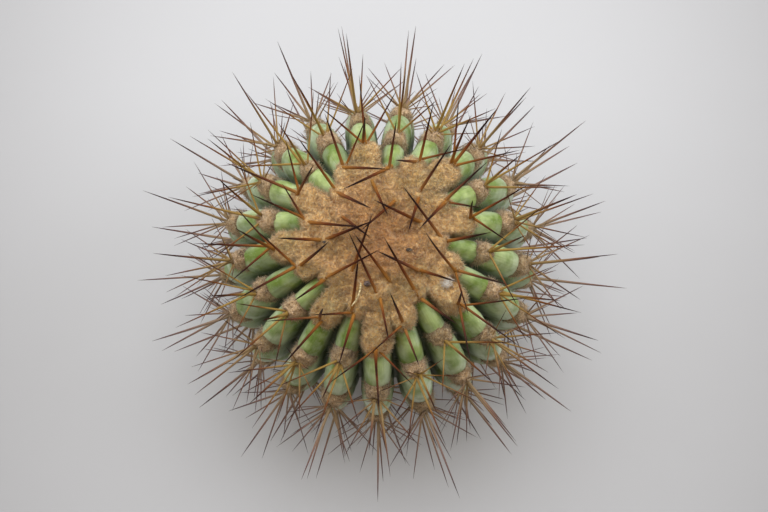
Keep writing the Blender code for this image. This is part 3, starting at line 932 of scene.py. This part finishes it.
def spines_of(plan, number):
    """Direction, length and base radius of each spine of an areole. The youngest has only its first."""
    draw = random.Random(SPINE_SEED + number)
    outer, down = areole_axes(plan, number)
    young = youth(number)
    if number <= LAST_CROWN_AREOLE:
        count = 1 + round((CROWN_RIM_SPINES - 1) * (1.0 - young))
    else:
        count = YOUNG_STEM_SPINES + (number - LAST_CROWN_AREOLE) // AREOLES_PER_SPINE
    for order, row in enumerate(SPINES[:count]):
        bearing, lean, length, radius = varied(draw, row)
        if order == 0 and young:
            inward = min(1.0, 2 * young)
            lean += (INWARD_LEAN - lean) * inward
            bearing += draw.uniform(-YOUNG_TWIST, YOUNG_TWIST) * inward
        length *= 1.0 - (1.0 - YOUNG_LENGTH_SHARE) * young
        yield leaning(outer, down, bearing, lean), length, radius


def thin_spines_of(plan, number):
    """Direction, length and base radius of each thin spine of an adult areole."""
    draw = random.Random(THIN_SEED + number)
    outer, down = areole_axes(plan, number)
    for row in THIN_SPINES:
        bearing, lean, length, radius = varied(draw, row)
        yield leaning(outer, down, bearing, lean), length, radius


def off_the_ground(foot, direction, length):
    """The direction, raised where needed so that the spine's tip clears the ground."""
    lowest = (LOWEST_TIP - foot.z) / length
    if direction.z >= lowest:
        return direction
    level = Vector((direction.x, direction.y, 0.0)).normalized()
    return level * math.sqrt(1.0 - lowest**2) + Vector((0.0, 0.0, lowest))


def spine_piece(plan, name, numbers, lift, material, node, thickness=1.0, grown=spines_of):
    """All the spines of these areoles as one piece, each bowed a little and tapered to its tip."""
    template = needle_template(SPINE_SIDES, SPINE_PARTS, tip=1.0)
    shape = points_of(template)
    height = shape[:, 2]
    taper = (1.0 - height) ** SPINE_TAPER * (1.0 + BULB_SWELLING * np.exp(-height * BULB_FADE))
    shape[:, :2] *= np.maximum(SPINE_TIP, taper)[:, None]
    spines = []
    draw = random.Random(SPINE_SEED)
    for number in numbers:
        foot = Vector(crest_point(plan, areole_angle(number), areole_bearing(number), lift))
        foot += areole_axes(plan, number)[1] * SPINE_FOOT_SHIFT
        weathered = min(MOST_WEATHERED, max(0.0, (number - FIRST_ADULT_AREOLE) / WEATHERING_AREOLES))
        for direction, length, radius in grown(plan, number):
            direction = off_the_ground(foot, direction, length)
            spread = Vector([draw.uniform(-1, 1) for _ in range(3)]) * SPINE_SPREAD
            spines.append((foot + spread - direction * SPINE_ROOT, direction, length + SPINE_ROOT,
                           thickness * radius * draw.uniform(*SPINE_WIDTHS),
                           weathered + draw.uniform(-TONE_JITTER, TONE_JITTER),
                           draw.uniform(*DARKENING), draw.uniform(*BOWS)))
    roots, axes, lengths, radii, tones, darks, bows = map(np.array, zip(*spines))
    side = sides_of(axes)
    rows = turned(shape, roots, axes, side, radii, lengths)
    bow = (bows * lengths)[:, None] * (height**2 - height * STRAIGHT_FOOT)
    rows += np.cross(axes, side)[:, None] * bow[..., None]
    rows[..., 2] = np.maximum(rows[..., 2], LOWEST_TIP / 2)
    piece = copies(name, template, rows)
    add_point_value(piece.data, "along", height + darks[:, None] * height)
    add_point_value(piece.data, "tone", np.repeat(tones, len(height)))
    settle(piece, material, node)


class CACTUS_OT_spines(bpy.types.Operator):
    """Model the spines: the crown's young ones, and those of the areoles down the ribs"""

    bl_idname = "cactus.spines"
    bl_label = "Spines"

    def execute(self, context):
        plan = context.scene.cactus
        young = horn_spine("young_horn", [(0.0, "B8863C"), (0.18, "98642A"), (0.42, "683416"),
                                          (0.72, "240C08")])
        adult = horn_spine("amber_horn", [(0.0, plan.spine_colour), (0.38, "9E8042"), (0.60, "74441E"),
                                          (0.84, "30140E")])
        spine_piece(plan, "crown_spines", CROWN_AREOLES, plan.wool_thickness, young, "crown_wool",
                    YOUNG_THICKNESS)
        foot = SPINE_FOOT_HEIGHT * plan.pad_height
        upper = range(LAST_CROWN_AREOLE + 1, FIRST_LOWER_AREOLE)
        spine_piece(plan, "upper_spines", upper, foot, adult, "ribbed_stem")
        spine_piece(plan, "lower_spines", LOWER_AREOLES, foot, adult, "ribbed_stem")
        spine_piece(plan, "thin_spines", ADULT_AREOLES, foot, adult, "ribbed_stem", grown=thin_spines_of)
        return {"FINISHED"}


def seat_on_wool(plan, across, back, lift):
    """A point this high over the crown's wool, at a place seen from above."""
    angle = np.array([math.asin(math.hypot(across, back) / plan.stem_radius)])
    bearing = np.array([math.atan2(across, back)])
    return crest_point(plan, angle, bearing, wool_lift(plan, angle, bearing) + lift)[0]


class CACTUS_OT_litter(bpy.types.Operator):
    """Model what has fallen on the crown: a seed, two grains of grit, white fluff and a dry straw"""

    bl_idname = "cactus.litter"
    bl_label = "Crown litter"

    def execute(self, context):
        plan = context.scene.cactus
        finishes = {"dark_seed_coat": plain_finish("dark_seed_coat", "74645C", 0.5),
                    "dark_grit": plain_finish("dark_grit", "554C42", 0.6)}
        for name, finish, place, half_sizes in GRAINS:
            deselect_all()
            bpy.ops.mesh.primitive_ico_sphere_add(subdivisions=4, radius=1.0)
            piece = bpy.context.object
            piece.name = name
            points = points_of(piece.data)
            points *= (1.0 + waves(points, GRAIN_WAVES))[:, None]
            set_points(piece.data, points * np.array(half_sizes) + seat_on_wool(plan, *place))
            settle(piece, finishes[finish], "crown_wool")

        template = needle_template(sides=8, parts=9, tip=STRAW_TIP_SHARE)
        shape = points_of(template)
        root, tip = seat_on_wool(plan, *STRAW_ROOT), seat_on_wool(plan, *STRAW_TIP)
        length = np.array([np.linalg.norm(tip - root)])
        axis = (tip - root)[None] / length
        rows = turned(shape, root[None], axis, sides_of(axis), np.array([STRAW_RADIUS]), length)
        rows[..., 0] += STRAW_BOW * np.sin(shape[:, 2] * math.pi)
        settle(copies("straw", template, rows), plain_finish("dry_straw", "F0DCA8", 0.7), "crown_wool")

        template = needle_template(sides=3, parts=3)
        draw = np.random.default_rng(FLUFF_SEED)
        axis = unit(draw.normal(size=(FLUFF_HAIRS, 3)) * FLUFF_FLATNESS)
        root = seat_on_wool(plan, *FLUFF_PLACE) + draw.normal(size=(FLUFF_HAIRS, 3)) * FLUFF_SPREAD
        rows = turned(points_of(template), root - axis * FLUFF_ROOT, axis, sides_of(axis),
                      draw.uniform(*FLUFF_RADII, FLUFF_HAIRS), draw.uniform(*FLUFF_LENGTHS, FLUFF_HAIRS))
        settle(copies("fluff", template, rows), plain_finish("white_fluff", "FFFAF0", 0.95, "F4EEE6"),
               "crown_wool")
        return {"FINISHED"}


class CACTUS_OT_root_neck(bpy.types.Operator):
    """Model the corky root neck that the plant stands on"""

    bl_idname = "cactus.root_neck"
    bl_label = "Root neck"

    def execute(self, context):
        low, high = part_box("root_neck")
        deselect_all()
        height = high.z - low.z
        bpy.ops.mesh.primitive_cylinder_add(vertices=NECK_SIDES, radius=NECK_RADIUS, depth=height,
                                            location=(0, 0, height / 2))
        piece = bpy.context.object
        piece.name = "root_neck_bark"
        bpy.ops.object.transform_apply(location=True)
        cut_level(height, NECK_PARTS)
        points = points_of(piece.data)
        bearing = np.arctan2(points[:, 0], points[:, 1])
        radius = np.hypot(points[:, 0], points[:, 1])
        middle = np.sin(points[:, 2] / height * math.pi)
        radius += NECK_LOBE_HEIGHT * np.cos(NECK_LOBES * bearing) + waves(points, NECK_WAVES) * middle
        points[:, 0] = radius * np.sin(bearing)
        points[:, 1] = radius * np.cos(bearing)
        set_points(piece.data, points)
        settle(piece, corky_bark(), "root_neck")
        return {"FINISHED"}


class CACTUS_OT_stage(bpy.types.Operator):
    """Set up the cloth floor, the soft light and the camera"""

    bl_idname = "cactus.stage"
    bl_label = "Stage"

    def execute(self, context):
        scene = context.scene
        plan = scene.cactus
        deselect_all()
        bpy.ops.mesh.primitive_grid_add(x_subdivisions=60, y_subdivisions=60, size=FLOOR_WIDTH)
        floor = bpy.context.object
        floor.name = "cloth_floor"
        floor.data.materials.append(pale_cloth(plan))

        world = bpy.data.worlds.new("soft_room")
        world.use_nodes = True
        background = world.node_tree.nodes["Background"]
        background.inputs["Color"].default_value = linear("F3E4D4")
        background.inputs["Strength"].default_value = ROOM_LIGHT
        scene.world = world
        for name, place, width, watts in LAMPS:
            light = bpy.data.lights.new(name, "AREA")
            light.shape = "DISK"
            light.size = width
            light.energy = watts
            light.color = linear("F4F8FF")[:3]
            lamp = bpy.data.objects.new(name, light)
            lamp.location = place
            lamp.rotation_euler = (Vector(LAMP_AIM) - Vector(place)).to_track_quat("-Z", "Y").to_euler()
            scene.collection.objects.link(lamp)

        lens = bpy.data.cameras.new("photo_camera")
        lens.lens = 85.0
        lens.sensor_width = 36.0
        lens.clip_start = 0.01
        camera = bpy.data.objects.new("photo_camera", lens)
        scene.collection.objects.link(camera)
        aim = Vector((*CAMERA_AIM, plan.waist_height))
        back = Vector((0.0, -math.cos(CAMERA_ELEVATION), math.sin(CAMERA_ELEVATION)))
        camera.location = aim + back * CAMERA_DISTANCE
        camera.rotation_euler = (aim - camera.location).to_track_quat("-Z", "Y").to_euler()
        scene.camera = camera
        scene.view_settings.view_transform = "Standard"
        return {"FINISHED"}


class CACTUS_PT_panel(bpy.types.Panel):
    """Lists the plant's sizes, colours and pieces"""

    bl_label = "Globular cactus"
    bl_idname = "CACTUS_PT_panel"
    bl_space_type = "VIEW_3D"
    bl_region_type = "UI"
    bl_category = "Cactus"

    def draw(self, context):
        plan = context.scene.cactus
        for name in CactusSettings.__annotations__:
            self.layout.prop(plan, name)
        for operator in OPERATORS:
            self.layout.operator(operator.bl_idname)


OPERATORS = (CACTUS_OT_skin, CACTUS_OT_areoles, CACTUS_OT_crown, CACTUS_OT_fibres, CACTUS_OT_spines,
             CACTUS_OT_litter, CACTUS_OT_root_neck, CACTUS_OT_stage)
CLASSES = (CactusSettings, *OPERATORS, CACTUS_PT_panel)


def register():
    for item in CLASSES:
        bpy.utils.register_class(item)
    bpy.types.Scene.cactus = bpy.props.PointerProperty(type=CactusSettings)


def unregister():
    del bpy.types.Scene.cactus
    for item in reversed(CLASSES):
        bpy.utils.unregister_class(item)


def main():
    register()
    bpy.ops.cactus.skin()
    bpy.ops.cactus.areoles()
    bpy.ops.cactus.crown()
    bpy.ops.cactus.fibres()
    bpy.ops.cactus.spines()
    bpy.ops.cactus.litter()
    bpy.ops.cactus.root_neck()
    bpy.ops.cactus.stage()


if __name__ == "__main__":
    main()
